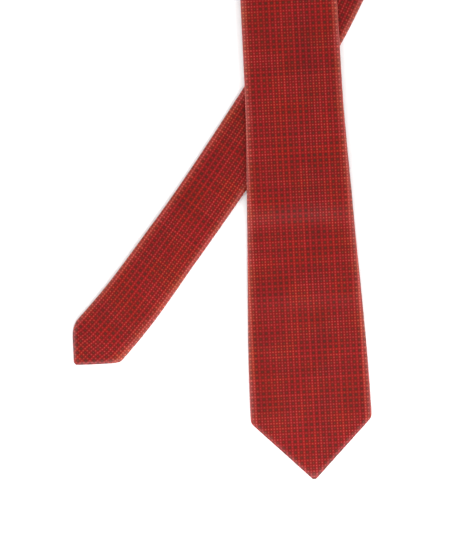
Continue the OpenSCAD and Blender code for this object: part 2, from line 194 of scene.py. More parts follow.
WIDTHS = [
    [BLADE_W / 2, BLADE_W],
    [BLADE_LEN - 88, BLADE_MID_W + 5],
    [BLADE_LEN - 18, BLADE_MID_W],
    [BLADE_LEN + 55, BLADE_MID_W - 1],
    [BLADE_LEN + 0.2 * LOOP_LEN, (BLADE_MID_W + NECK_W) / 2 + 4],
    [BLADE_LEN + 0.45 * LOOP_LEN, NECK_W + 1],
    [BLADE_LEN + 0.7 * LOOP_LEN, NECK_W],
    [TAIL_CROSS - 75, TAIL_WAIST_W + 1],
    [TAIL_CROSS, TAIL_WAIST_W + 1.5],
    [TOTAL_LEN - 130, TAIL_WAIST_W],
    [TOTAL_LEN - TAIL_W / 2, TAIL_W],
]
TIP_SHIFT = -1.5
BLUNT = 1.2
BLADE_SHOULDER = BLADE_W / 2 - BLUNT
TAIL_SHOULDERS = [TAIL_W / 2 + side * abs(TIP_SHIFT) - BLUNT for side in (-1, 1)]


def half_width(s):
    return between(WIDTHS, s) / 2


BLADE_ROUNDING = 1.0
TAIL_ROUNDING = 3.2


def side_half(s, side, sharp=False):
    """Half width of the right side, or of the left side where side is -1. Shoulders are softly
    rounded unless sharp is set."""
    shift = TIP_SHIFT * ramp(s, TOTAL_LEN - 110, TOTAL_LEN - 45)
    straight = half_width(s) + side * shift
    pointed = np.minimum(s, TOTAL_LEN - s) + BLUNT
    if sharp:
        return np.minimum(straight, pointed)
    # The tail's left shoulder is crisper than its right one
    rounding = np.where(np.asarray(s) < TOTAL_LEN / 2, BLADE_ROUNDING,
                        TAIL_ROUNDING * (side + 2) / 3)
    near = np.clip(1 - abs(straight - pointed) / (2 * rounding), 0, 1)
    return np.minimum(straight, pointed) - rounding / 2 * near * near


LAY_GAP = 0.35
KEEPER_ROOM = 2 * CLOTH_T + KEEPER_SLACK + 0.35
LIFTS = [
    [BLADE_OPEN_LEN - 30, 0],
    [BLADE_OPEN_LEN, LAY_GAP + 0.1],
    [END_FOLD, LAY_GAP + 0.3],
    [END_FOLD + 14, KEEPER_ROOM],
    [MIDDLE_FOLD - 18, KEEPER_ROOM],
    [MIDDLE_FOLD, THICK + CROWN + EDGE_GAP],
    [BLADE_LEN + 1.24 * BLADE_REACH, THICK + CROWN + EDGE_GAP],
    [BLADE_LEG_FOLD - 4, 0],
    [TOTAL_LEN - 142, 0],
    [TOTAL_LEN - 115, LAY_GAP],
    [TOTAL_LEN - 60, LAY_GAP],
    [TOTAL_LEN - 34, 0],
]
TWIST_LEN = 0.2 * LOOP_LEN


def roll(s):
    return (NECK_ROLL * ramp(s, BLADE_LEG_FOLD + 6, BLADE_LEG_FOLD + TWIST_LEN)
            * (1 - ramp(s, TAIL_LEG_FOLD - TWIST_LEN, TAIL_LEG_FOLD - 6)))


def bump_at(s, at, reach):
    return 1 - ramp(abs(s - at), 0, reach)


def slant(s):
    """Rings of points slant along the neck's fold line and along the two neck seams."""
    return (-math.tan(math.radians(BLADE_TURN - LOOP_TURN)) * bump_at(s, BLADE_LEG_FOLD, 60)
            + math.tan(math.radians(LOOP_TURN - LEG_TURN)) * bump_at(s, TAIL_LEG_FOLD, 60)
            + bump_at(s, BLADE_SEAM, 46) + bump_at(s, TAIL_SEAM, 46))


def soft_wave(s, u):
    """How far the front of the cloth rises and falls where it isn't quite ironed flat."""
    return (0.10 * np.sin(s / 23 + u / 31) + 0.08 * np.sin(s / 11 - u / 17 + 1.7)
            + 0.05 * np.sin(s / 6.1 + u / 9 + 0.6))


def place(s, u, n):
    s, u, n = np.broadcast_arrays(*(np.asarray(v, float) for v in (s, u, n)))
    turn = np.radians(roll(s))
    side = facing(heading(s) - 90)
    m = n - ROLL_R
    z = (half_width(s) - ROLL_R) * np.sin(turn) + ROLL_R + between(LIFTS, s)
    flat = spine(s) + side * (u * np.cos(turn) - m * np.sin(turn))[..., None]
    return np.concatenate([flat, (z + u * np.sin(turn) + m * np.cos(turn))[..., None]], -1)


def slanted(s, u, n):
    return place(s + slant(s) * u, u, n)


# The origin is the middle of the footprint
edge_s = np.arange(0, TOTAL_LEN + 1, 10.0)
footprint = np.concatenate([slanted(edge_s, side * side_half(edge_s, side, True), n)
                            for side in (-1, 1) for n in (0, THICK)])
footprint = np.vstack([footprint[:, :2], spine(0)])
MIDDLE = (footprint.max(0) + footprint.min(0)) / 2


def point(s, u, n):
    """Places on the tie, in metres."""
    s, u, n = np.broadcast_arrays(*(np.asarray(v, float) for v in (s, u, n)))
    moved = slanted(s, u, n + soft_wave(s, u) * np.clip(n / THICK, 0, 1))
    moved[..., :2] -= MIDDLE
    return moved * MM


# ---- the folded section of the silk ----

FRONT_ROLL = 5.0
BACK_ROLL = 1.9
SLIT = 0.15
TIP_EASE = 7
SEAM_DIP = 0.09


def crown_at(s, u):
    h = np.minimum(side_half(s, 1), side_half(s, -1))
    return CROWN * np.minimum(h / 20, 1) * np.maximum(1 - (u / h) ** 2, 0)


def half_thick(s):
    """Half the thickness of the tie, which thins out over the last few millimetres of a tip."""
    near = np.clip(np.minimum(s, TOTAL_LEN - s) / TIP_EASE, 0, 1)
    seam = bump_at(s, BLADE_SEAM, 1.8) + bump_at(s, TAIL_SEAM, 1.8)
    return (CLOTH_T * 1.1 + (ROLL_R - CLOTH_T * 1.1) * np.sqrt(1 - (1 - near) ** 2)
            - SEAM_DIP * seam)


def front_height(s, u):
    """Height of the outer face of the front, which drops softly to its rolled edges."""
    h = np.where(u > 0, side_half(s, 1), side_half(s, -1))
    front = np.minimum(FRONT_ROLL, 0.6 * h)
    inside = np.clip((h - abs(u)) / front, 0, 1)
    r = half_thick(s)
    return r + (r + crown_at(s, u)) * np.sqrt(1 - (1 - inside) ** 2)


def flap_gap(s, width, hem, open_len):
    """Half width of the gap between the back flaps: closed at the tip, a kite, then an overlap."""
    closed = hem * math.sqrt(2)
    corner = width / 2 + 2.5
    if s <= corner:
        return max(SLIT, s - closed)
    if s <= open_len:
        return SLIT + (corner - closed) * (open_len - s) / (open_len - corner)
    return SLIT - (OVERLAP + SLIT) * ramp(s, open_len + 2, open_len + 12)


def gap_at(s):
    if s < TOTAL_LEN / 2:
        return flap_gap(s, BLADE_W, HEM_W, BLADE_OPEN_LEN)
    return flap_gap(TOTAL_LEN - s, TAIL_W, TAIL_HEM_W, TAIL_OPEN_LEN)


def raised(s, u):
    along = min(s - BLADE_OPEN_LEN, TOTAL_LEN - s - TAIL_OPEN_LEN)
    return FLAP_RISE * ramp(along, -8, 1) * ramp(u, -OVERLAP - 7.5, -OVERLAP - 1.5)


FLAP_POINTS = 12
ROLL_POINTS = 6
FRONT_POINTS = 25


def section(s):
    """The outer face of the silk across the tie, as rows of u and n: out along the right flap,
    round the right edge, over the front, round the left edge and in along the left flap."""
    r = half_thick(s)
    gap = gap_at(s)
    rows = []
    rolls = {}
    for side in (1, -1):
        h = side_half(s, side)
        back = min(BACK_ROLL, 0.5 * h)
        front = min(FRONT_ROLL, 0.6 * h)
        turn = np.radians(np.linspace(-90, 90, 2 * ROLL_POINTS + 1))
        reach = np.where(turn < 0, back, front)
        u = h - reach + reach * np.cos(turn)
        rise = r + crown_at(s, h - front) * ramp(turn, 0, math.pi / 2)
        rolls[side] = np.stack([u, r + rise * np.sin(turn)], -1)
    start = rolls[1][0, 0]
    flap_u = gap + (start - gap) * np.linspace(0, 1, FLAP_POINTS)[:-1]
    rows.append(np.stack([flap_u, 0 * flap_u], -1))
    rows.append(rolls[1])
    u = np.linspace(rolls[1][-1, 0], -rolls[-1][-1, 0], FRONT_POINTS)[1:-1]
    rows.append(np.stack([u, 2 * r + crown_at(s, u)], -1))
    rows.append(rolls[-1][::-1] * [-1, 1])
    u = np.linspace(-rolls[-1][0, 0], -gap, FLAP_POINTS + 4)[1:]
    rows.append(np.stack([u, raised(s, u)], -1))
    return np.vstack(rows)


FRONT_MIDDLE = FLAP_POINTS - 1 + 2 * ROLL_POINTS + 1 + (FRONT_POINTS - 2) // 2
HEM_COLUMNS = FLAP_POINTS - 1 + ROLL_POINTS


# ---- meshes ----

def stations(start, end, gap, corners=()):
    marks = [start, *sorted(c for c in corners if start + 0.5 < c < end - 0.5), end]
    spans = [np.linspace(a, b, max(1, math.ceil((b - a) / gap)) + 1)[:-1]
             for a, b in zip(marks, marks[1:])]
    return np.concatenate([*spans, [end]])


# Where a ring of points is wanted whatever the spacing: tips, shoulders, seams and open backs
CORNERS = [0.7, 1.5, 2.5, 4, 6, 9, 13, HEM_W * math.sqrt(2),
           *[BLADE_SHOULDER + d for d in (-1.4, -0.6, 0, 0.6, 1.4)], BLADE_W / 2 + 2.5,
           *[seam + d for seam in (BLADE_SEAM, TAIL_SEAM) for d in (-1.8, -0.9, 0.9, 1.8)],
           *[BLADE_OPEN_LEN + d for d in (-8, -4, 0, 3, 6, 9, 12)],
           *[TOTAL_LEN - d for d in (0.7, 1.5, 2.5, 4, 6, 9, TAIL_HEM_W * math.sqrt(2),
                                     *TAIL_SHOULDERS, TAIL_W / 2 + 2.5, TAIL_OPEN_LEN - 8,
                                     TAIL_OPEN_LEN, TAIL_OPEN_LEN + 6, TAIL_OPEN_LEN + 12)]]


def only(piece):
    """Selects one piece and makes it the active one."""
    bpy.ops.object.select_all(action="DESELECT")
    piece.select_set(True)
    bpy.context.view_layer.objects.active = piece


CLOTH_SHARP = 40
STRAND_SHARP = 60


def finish_mesh(piece, finish, sharp):
    piece.data.materials.clear()
    piece.data.materials.append(finish)
    only(piece)
    for modifier in list(piece.modifiers):
        bpy.ops.object.modifier_apply(modifier=modifier.name)
    bpy.ops.object.shade_smooth_by_angle(angle=math.radians(sharp))
    return piece


def cloth_grid(name, places, cloth_uv, thickness, finish, second_uv=None, uses_second=None,
               painted_sheen=None):
    """Cloth from a grid of points on its outer face, thickened inwards. cloth_uv says where each
    point lies in the woven pattern; faces marked in uses_second take second_uv instead. The last
    argument says how near each point is to a long edge of the silk, for a painted sheen there."""
    rows, columns = places.shape[:2]
    index = np.arange(rows * columns).reshape(rows, columns)
    faces = np.stack([index[:-1, :-1], index[:-1, 1:], index[1:, 1:], index[1:, :-1]], -1)
    mesh = bpy.data.meshes.new(name)
    mesh.from_pydata(places.reshape(-1, 3).tolist(), [], faces.reshape(-1, 4).tolist())
    piece = bpy.data.objects.new(name, mesh)
    bpy.context.scene.collection.objects.link(piece)
    layer = mesh.uv_layers.new(name="weave")
    corner = cloth_uv.reshape(-1, 2)[faces.reshape(-1)]
    if second_uv is not None:
        chosen = np.repeat(uses_second.reshape(-1), 4)
        corner[chosen] = second_uv.reshape(-1, 2)[faces.reshape(-1)][chosen]
    layer.data.foreach_set("uv", corner.astype(np.float32).reshape(-1))
    # A second map says how near each point is to a long edge, where the silk's colour carries a
    # painted sheen.
    if painted_sheen is not None:
        near = painted_sheen.reshape(-1)[faces.reshape(-1)]
        painted_sheen_layer = mesh.uv_layers.new(name="painted_sheen")
        painted_sheen_layer.data.foreach_set("uv", np.stack([near, near], -1).astype(np.float32).reshape(-1))
    solid = piece.modifiers.new("thickness", "SOLIDIFY")
    solid.thickness = thickness * MM
    solid.offset = -1
    return finish_mesh(piece, finish, CLOTH_SHARP)


def closed_strand(name, loops, finish):
    """A closed solid from loops of points, which is how threads and folded strips are made.
    Its weave map runs once round it, and along it in millimetres."""
    rows, columns = loops.shape[:2]
    faces = [[i * columns + j, i * columns + (j + 1) % columns,
              (i + 1) * columns + (j + 1) % columns, (i + 1) * columns + j]
             for i in range(rows - 1) for j in range(columns)]
    caps = [list(range(columns))[::-1], [(rows - 1) * columns + j for j in range(columns)]]
    mesh = bpy.data.meshes.new(name)
    mesh.from_pydata(loops.reshape(-1, 3).tolist(), [], faces + caps)
    piece = bpy.data.objects.new(name, mesh)
    bpy.context.scene.collection.objects.link(piece)
    middle = loops.mean(1)
    along = np.concatenate([[0], np.cumsum(np.linalg.norm(np.diff(middle, axis=0), axis=1))]) / MM
    uv = [((j + dj) / columns, along[i + di])
          for i in range(rows - 1) for j in range(columns)
          for di, dj in ((0, 0), (0, 1), (1, 1), (1, 0))]
    uv += [(0, 0)] * columns + [(0, along[-1])] * columns
    layer = mesh.uv_layers.new(name="weave")
    layer.data.foreach_set("uv", np.array(uv, np.float32).reshape(-1))
    return finish_mesh(piece, finish, STRAND_SHARP)


def thread_loops(route, diameter, sides):
    """Loops round a route of s, u, n places, for one thread."""
    centre = point(*np.array(route, float).T)
    way = np.gradient(centre, axis=0)
    way /= np.linalg.norm(way, axis=1)[:, None]
    up = np.where(abs(way[:, 2:]) > 0.9, [[1.0, 0, 0]], [[0, 0, 1.0]])
    side = np.cross(way, up)
    side /= np.linalg.norm(side, axis=1)[:, None]
    over = np.cross(side, way)
    turn = 2 * np.pi * np.arange(sides) / sides
    return centre[:, None] + diameter / 2 * MM * (
        side[:, None] * np.cos(turn)[:, None] + over[:, None] * np.sin(turn)[:, None])


def rounded_route(places, count):
    """A smooth route of count points through a few chosen places."""
    places = np.array(places, float)
    at = np.arange(len(places))
    t = np.linspace(0, len(places) - 1, count)
    i = np.clip(t.astype(int), 0, len(places) - 2)
    f = (t - i)[:, None]
    ends = np.vstack([2 * places[0] - places[1], places, 2 * places[-1] - places[-2]])
    p0, p1, p2, p3 = ends[i], ends[i + 1], ends[i + 2], ends[i + 3]
    return 0.5 * (2 * p1 + (p2 - p0) * f + (2 * p0 - 5 * p1 + 4 * p2 - p3) * f ** 2
                  + (3 * p1 - p0 - 3 * p2 + p3) * f ** 3)


def thread(name, routes, diameter, sides=8):
    """One piece of sewing thread, or a row of stitches joined into one piece."""
    parts = [closed_strand(name, thread_loops(r, diameter, sides), THREAD) for r in routes]
    bpy.ops.object.select_all(action="DESELECT")
    for part in parts:
        part.select_set(True)
    bpy.context.view_layer.objects.active = parts[0]
    if len(parts) > 1:
        bpy.ops.object.join()
    parts[0].name = name
    return parts[0]


# ---- finishes ----

class Value:
    """A socket that Python's own operators can work on."""

    def __init__(self, finish, socket):
        self.finish = finish
        self.socket = socket

    def math(self, operation, first, second=0.0):
        return self.finish.node("ShaderNodeMath", {"operation": operation}, {0: first, 1: second})

    def __add__(self, other):
        return self.math("ADD", self, other)

    def __radd__(self, other):
        return self.math("ADD", other, self)

    def __sub__(self, other):
        return self.math("SUBTRACT", self, other)

    def __rsub__(self, other):
        return self.math("SUBTRACT", other, self)

    def __mul__(self, other):
        return self.math("MULTIPLY", self, other)

    def __rmul__(self, other):
        return self.math("MULTIPLY", other, self)

    def __abs__(self):
        return self.math("ABSOLUTE", self)

    def apply(self, operation, second=0.0):
        return self.math(operation, self, second)


class Finish:
    """A material, or the studio's sky, that is built up node by node."""

    def __init__(self, name, kind="materials"):
        self.material = getattr(bpy.data, kind).new(name)
        self.material.use_nodes = True
        self.tree = self.material.node_tree
        self.tree.nodes.clear()

    def node(self, kind, settings=None, inputs=None, output=0):
        made = self.tree.nodes.new(kind)
        for key, value in (settings or {}).items():
            setattr(made, key, value)
        for key, value in (inputs or {}).items():
            if isinstance(value, Value):
                self.tree.links.new(value.socket, made.inputs[key])
            else:
                made.inputs[key].default_value = value
        return Value(self, made.outputs[output]) if made.outputs else made

    def weave(self, name="weave"):
        """The piece's own place in its woven pattern, as two values and a vector."""
        uv = self.node("ShaderNodeUVMap", {"uv_map": name})
        parts = self.node("ShaderNodeSeparateXYZ", None, {0: uv})
        return parts, Value(self, parts.socket.node.outputs[1]), uv

    def fade(self, value, start, end):
        """0 before start and 1 after end, with a smooth step between."""
        low, high, first, last = (start, end, 0.0, 1.0) if start < end else (end, start, 1.0, 0.0)
        return self.node(
            "ShaderNodeMapRange", {"interpolation_type": "SMOOTHSTEP"},
            {0: value, 1: low, 2: high, 3: first, 4: last})

    def noise(self, vector, scale, detail):
        return self.node("ShaderNodeTexNoise", None,
                         {"Vector": vector, "Scale": scale, "Detail": detail})

    def yarn_noise(self, place, seed):
        """A fixed random value for each yarn."""
        return self.node("ShaderNodeTexWhiteNoise", {"noise_dimensions": "1D"},
                         {"W": place.apply("FLOOR") + seed})

    def mix(self, factor, a, b, blend="MIX"):
        return self.node("ShaderNodeMix", {"data_type": "RGBA", "blend_type": blend},
                         {0: factor, 6: a, 7: b}, 2)

    def bump(self, height, distance, strength):
        return self.node("ShaderNodeBump", None,
                         {"Height": height, "Distance": distance, "Strength": strength})

    def cloth(self, colour, roughness, normal, **constants):
        inputs = {"Base Color": colour, "Roughness": roughness, "Normal": normal, **constants}
        shader = self.node("ShaderNodeBsdfPrincipled", None, inputs)
        self.node("ShaderNodeOutputMaterial", None, {0: shader})
        return self.material


def colour(red, green, blue):
    """A colour from its ordinary 0 to 255 values."""
    def linear(c):
        c /= 255
        return c / 12.92 if c <= 0.04045 else ((c + 0.055) / 1.055) ** 2.4
    return (linear(red), linear(green), linear(blue), 1.0)


CELL_ACROSS = 4.05
CELL_ALONG = 3.85


def patterned_silk():
    """Red silk with a small check: a dark square in each cell, and a lattice of light dots. Along
    both long edges a painted sheen lightens it.
    """
    f = Finish("patterned_silk")
    x, y, uv = f.weave()
    off_x = abs((x + 0.5).apply("FRACT") - 0.5)
    off_y = abs((y + 0.5).apply("FRACT") - 0.5)
    # Painted sheen: in a band along both long edges the colour is lighter and pinker, the dark
    # squares fainter and the light dots stronger, standing in for light off the rolled edges.
    painted_sheen, _, _ = f.weave("painted_sheen")
    painted_sheen_mask = f.fade(painted_sheen, 0.0, 1.0)
    cloud = f.noise(uv, 0.11, 3.0)
    hue = f.noise(uv, 0.23, 1.0)
    patch = f.fade(f.noise(uv, 0.16, 2.0), 0.36, 0.62)
    across = f.yarn_noise(2 * x + 0.5, 3.0)
    along = f.yarn_noise(2 * y + 0.5, 71.0)
    square = f.fade(off_x.apply("MAXIMUM", off_y), 0.36, 0.15)
    square = square * (0.72 + 0.28 * patch) * (1 - 0.35 * painted_sheen_mask)
    dot_x = abs((2 * x + 0.5).apply("FRACT") - 0.5)
    dot_y = abs((2 * y + 0.5).apply("FRACT") - 0.5)
    dot = f.fade((dot_x * dot_x + dot_y * dot_y).apply("SQRT"), 0.32, 0.08)
    dot = dot * ((0.95 - 0.5 * patch) + 0.45 * painted_sheen_mask).apply("MINIMUM", 1.0)
    column = f.fade(off_x, 0.34, 0.48)
    ground = f.mix(column, colour(144, 10, 14), colour(160, 16, 24))
    # Painted sheen: the ground turns lighter and pinker towards the long edges.
    ground = f.mix(painted_sheen_mask * 0.5, ground, colour(206, 78, 66))
    base = f.mix(square, ground, colour(92, 24, 2))
    # Painted sheen: the light dots turn lighter and pinker towards the long edges.
    light = f.mix(painted_sheen_mask, colour(202, 94, 84), colour(228, 134, 118))
    light = f.mix(square, light, colour(130, 62, 22))
    woven = f.mix(dot, base, light)
    glow = f.mix(f.fade(hue, 0.35, 0.7), colour(255, 220, 226), colour(255, 246, 170))
    woven = f.mix(0.8, woven, glow, "MULTIPLY")
    strength = 0.505 + 0.11 * across + 0.11 * along + 0.2 * (cloud - 0.5)
    shade = f.node("ShaderNodeCombineXYZ", None, {0: strength, 1: strength, 2: strength})
    tint = f.node("ShaderNodeVectorMath", {"operation": "MULTIPLY"}, {0: woven, 1: shade})
    thread = abs((x * 12).apply("FRACT") - 0.5) + abs((y * 12).apply("FRACT") - 0.5)
    height = dot * 0.6 - square * 0.35 + thread * 0.25
    normal = f.bump(height, 0.00016, 0.7)
    rough = 0.34 - 0.06 * dot + 0.1 * square
    return f.cloth(tint, rough, normal, **{
        "Sheen Weight": 0.08, "Sheen Roughness": 0.3, "Sheen Tint": colour(255, 150, 140),
        "Specular IOR Level": 0.3})


def plain_cloth(name, light, dark, yarns, roughness, sheen, height, twill=True):
    """A plain or twill cloth with its yarns this many to a millimetre."""
    f = Finish(name)
    x, y, uv = f.weave()
    if twill:
        rib = abs(((x + y) * yarns).apply("FRACT") - 0.5) * 2
    else:
        rib = abs((x * yarns).apply("FRACT") - 0.5) + abs((y * yarns).apply("FRACT") - 0.5)
    cloud = f.noise(uv, 0.2, 4.0)
    shown = f.mix((rib * 0.45 + cloud * 0.6).apply("MINIMUM", 1.0), dark, light)
    normal = f.bump(rib, height, 0.6)
    return f.cloth(shown, roughness + 0.1 * cloud, normal,
                   **{"Sheen Weight": sheen, "Sheen Roughness": 0.5, "Specular IOR Level": 0.2})


def brushed_wool():
    f = Finish("wool_interlining")
    x, y, uv = f.weave()
    fuzz = f.noise(uv, 3.5, 6.0)
    cloud = f.noise(uv, 0.15, 3.0)
    rib = abs((x * 1.2).apply("FRACT") - 0.5) + abs((y * 1.2).apply("FRACT") - 0.5)
    shown = f.mix(fuzz * 0.7 + cloud * 0.3, colour(176, 164, 138), colour(226, 218, 198))
    normal = f.bump(rib * 0.4 + fuzz, 0.0003, 0.8)
    return f.cloth(shown, 0.9, normal, **{"Sheen Weight": 0.5, "Sheen Roughness": 0.6})


def twisted_thread(name, light, dark):
    f = Finish(name)
    x, y, _ = f.weave()
    ply = abs((y * 0.8 + x * 2).apply("FRACT") - 0.5) * 2
    shown = f.mix(ply, dark, light)
    normal = f.bump(ply, 0.00004, 0.8)
    return f.cloth(shown, 0.5 + 0.1 * ply, normal, **{"Sheen Weight": 0.3, "Sheen Roughness": 0.4})


def label_satin():
    """Black satin with a thin woven border and nothing else on it."""
    f = Finish("label_satin")
    x, y, uv = f.weave()
    rib = abs((y * 4).apply("FRACT") - 0.5) * 2
    edge_x = (LABEL_LEN / 2) - abs(x)
    edge_y = (LABEL_W / 2) - abs(y)
    edge = edge_x.apply("MINIMUM", edge_y)
    border = f.fade(edge, 2.0, 2.2) * f.fade(edge, 2.9, 2.7)
    cloud = f.noise(uv, 0.3, 3.0)
    ground = f.mix(rib * 0.5 + cloud * 0.4, colour(18, 17, 20), colour(44, 42, 48))
    shown = f.mix(border * 0.8, ground, colour(150, 60, 48))
    normal = f.bump(rib * 0.5 + border, 0.00005, 0.6)
    return f.cloth(shown, 0.34 + 0.1 * cloud, normal,
                   **{"Sheen Weight": 0.05, "Specular IOR Level": 0.25})


SILK = patterned_silk()
WOOL = brushed_wool()
LINING = plain_cloth("tipping_lining", colour(104, 20, 18), colour(58, 8, 9), 2.6, 0.42, 0.3,
                     0.00005)
TAPE = plain_cloth("care_tape", colour(240, 238, 232), colour(206, 203, 196), 2.2, 0.6, 0.2,
                   0.00006, twill=False)
THREAD = twisted_thread("sewing_thread", colour(146, 34, 30), colour(86, 14, 14))
LABEL = label_satin()


# ---- fold lengths, and where each piece is baked or attached ----

BEFORE_FOLD = 12
AFTER_FOLD = 36
hinge_point = (point(BLADE_LEG_FOLD, 0, THICK) + point(TAIL_LEG_FOLD, 0, THICK)) / 2


def bend_with(piece, where):
    """Bakes the transform of a piece that lies on a fold into its mesh: the blade's end, its
    middle, the tail or the neck's legs. A piece of the neck loop that reaches no fold is attached
    to the neck."""
    if where == "blade_end":
        point(END_FOLD + BEFORE_FOLD, 0, 0)
        point(END_FOLD - AFTER_FOLD, 0, 0)
        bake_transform(piece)
    elif where == "blade_middle":
        point(MIDDLE_FOLD + BEFORE_FOLD, 0, 0)
        point(MIDDLE_FOLD - AFTER_FOLD, 0, 0)
        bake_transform(piece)
    elif where == "tail_end":
        point(TAIL_FOLD - BEFORE_FOLD, 0, 0)
        point(TAIL_FOLD + AFTER_FOLD, 0, 0)
        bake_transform(piece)
    elif where == "neck_legs":
        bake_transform(piece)
    else:
        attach(piece, "neck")


LABEL_S = END_FOLD + 7
KEEPER_S = LABEL_S + LABEL_W + 6
BLADE_SPLIT = KEEPER_S - 2
BLADE_LEG_START = BLADE_LEN + 16
TAIL_LEG_END = TAIL_CROSS - 27

# Each stretch of the tie: its name, where it starts and ends, the fold it lies on, and the shell,
# interlining and slip stitch nodes that it stands for
STRETCHES = [
    ("blade_end", 0, END_FOLD, "blade_end",
     ["blade_shell_end", "blade_interlining_end", "slip_stitch_end"]),
    ("blade_label", END_FOLD, BLADE_SPLIT, "blade_end",
     ["blade_shell_middle", "blade_interlining_middle", "slip_stitch_middle"]),
    ("blade_middle", BLADE_SPLIT, MIDDLE_FOLD, "blade_middle",
     ["blade_shell_middle", "blade_interlining_middle", "slip_stitch_middle"]),
    ("blade_crossing", MIDDLE_FOLD, BLADE_LEG_START, "blade_middle",
     ["blade_shell_crossing", "blade_interlining_crossing", "slip_stitch_crossing"]),
    ("blade_leg", BLADE_LEG_START, BLADE_LEG_FOLD, "neck_legs",
     ["blade_shell_crossing", "blade_interlining_crossing", "slip_stitch_crossing"]),
    ("blade_neck", BLADE_LEG_FOLD, BLADE_SEAM, "neck_legs",
     ["blade_shell_neck", "neck_interlining", "slip_stitch_neck"]),
    ("neck_middle", BLADE_SEAM, TAIL_SEAM, "neck",
     ["neck_shell", "neck_interlining", "slip_stitch_neck"]),
    ("tail_neck", TAIL_SEAM, TAIL_LEG_FOLD, "neck_legs",
     ["tail_shell_neck", "neck_interlining", "slip_stitch_neck"]),
    ("tail_leg", TAIL_LEG_FOLD, TAIL_LEG_END, "neck_legs",
     ["tail_shell_crossing", "tail_interlining_crossing", "slip_stitch_tail_crossing"]),
    ("tail_crossing", TAIL_LEG_END, TAIL_FOLD, "tail_end",
     ["tail_shell_crossing", "tail_interlining_crossing", "slip_stitch_tail_crossing"]),
    ("tail_end", TAIL_FOLD, TOTAL_LEN, "tail_end",
     ["tail_shell_end", "tail_interlining_end", "slip_stitch_tail_end"]),
]

SEAM_GROOVE = 0.22
RING_GAP = 3.4
PAINTED_SHEEN_W = 7.0                # width of the band of painted sheen, lighter and pinker, along both long edges
TIP_INSET = 8                  # how far the inner layers stop short of a tip


def shell_rings(start, end):
    """Places of the silk's rings. The layers inside it use them too, so that all bend alike."""
    first = start + (SEAM_GROOVE if start in (BLADE_SEAM, TAIL_SEAM) else 0)
    last = end - (SEAM_GROOVE if end in (BLADE_SEAM, TAIL_SEAM) else 0)
    return stations(first, last, RING_GAP, CORNERS)


def rings_within(rings, low, high):
    return rings[(rings >= low) & (rings <= high)]


def silk_shell(name, start, end, where, node):
    """The patterned silk, folded round to the back."""
    rings = shell_rings(start, end)
    sections = np.array([section(s) for s in rings])
    u, n = sections[..., 0], sections[..., 1]
    s = np.repeat(rings[:, None], u.shape[1], 1)
    places = point(s, u, n)
    steps = np.hypot(np.diff(u, axis=1), np.diff(n, axis=1))
    across = np.concatenate([np.zeros((len(rings), 1)), np.cumsum(steps, 1)], 1)
    across = across - across[:, FRONT_MIDDLE][:, None]
    woven = np.stack([across / CELL_ACROSS, s / CELL_ALONG], -1)
    # On the hems of a point, the pattern is the front's, mirrored in the folded edge
    near_tail = s > TOTAL_LEN / 2
    turned_s = np.where(near_tail, TOTAL_LEN - abs(u), abs(u))
    turned_u = np.where(near_tail, TOTAL_LEN - s, s) * np.where(u > 0, -1, 1)
    mirrored = np.stack([turned_u / CELL_ACROSS, turned_s / CELL_ALONG], -1)
    column = np.arange(u.shape[1] - 1)
    inside = half_width(s) - abs(u)
    flap = (column < HEM_COLUMNS) | (column >= u.shape[1] - 1 - HEM_COLUMNS - 4)
    middle = (rings[:-1] + rings[1:]) / 2
    in_hem = (middle < BLADE_SHOULDER) | (middle > TOTAL_LEN - np.mean(TAIL_SHOULDERS))
    # The last argument is how near each point is to a long edge, for the painted sheen there.
    piece = cloth_grid(name + "_silk", places[:, ::-1], woven[:, ::-1], CLOTH_T, SILK,
                       mirrored[:, ::-1], (in_hem[:, None] & flap[None, :])[:, ::-1],
                       np.clip(1 - inside / PAINTED_SHEEN_W, 0, 1)[:, ::-1])
    name + "_interlining"
    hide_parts(node)
    bend_with(piece, where)


WOOL_INSET = 3.6


def wool_layer(name, start, end, where, node):
    """The interlining under the front, which stops short of both rolled edges and tips."""
    rings = rings_within(shell_rings(start, end), TIP_INSET, TOTAL_LEN - TIP_INSET)
    share_across = np.linspace(-1, 1, 17)
    u = np.stack([share_across * np.where(share_across > 0, side_half(s, 1) - WOOL_INSET,
                                          side_half(s, -1) - WOOL_INSET) for s in rings])
    s = np.repeat(rings[:, None], u.shape[1], 1)
    n = front_height(s, u) - CLOTH_T - GAP
    places = point(s, u, n)
    piece = cloth_grid(name + "_interlining", places, np.stack([u, s], -1), WOOL_T - 2 * GAP, WOOL)
    name + "_silk"
    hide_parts(node)
    bend_with(piece, where)


def slip_stitch(name, start, end, where, node):
    """The long loose thread that closes the back seam. In the blade it ends in a slack loop."""
    s = rings_within(shell_rings(start, end), BLADE_OPEN_LEN + 4, TOTAL_LEN - TAIL_OPEN_LEN - 2)
    route = np.stack([s, 0.35 * np.sin(s / 2.4), 0 * s + THREAD_N], -1)
    if start == 0:
        low = BLADE_OPEN_LEN - 12
        slack = [[low + 15, 0, THREAD_N], [low + 9, 1.2, THREAD_N], [low + 3, -2.4, 0.3],
                 [low, -1.4, 0.2], [low - 0.6, 0.4, 0.2], [low + 1.5, 1.8, 0.3],
                 [low + 6, 2.8, THREAD_N], [low + 8.5, 3.2, THREAD_N]]
        route = np.vstack([route[::-1], rounded_route(slack, 57)])
    piece = thread(name + "_slip_stitch", [route], THREAD_D)
    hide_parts(node)
    bend_with(piece, where)


for name, start, end, where, nodes in STRETCHES:
    silk_shell(name, start, end, where, nodes[0])
    wool_layer(name, start, end, where, nodes[1])
    slip_stitch(name, start, end, where, nodes[2])


# ---- the two points: tipping, hem stitches and tacks ----

TIPPING_INSET = 2.3
TACK_W = 2.2


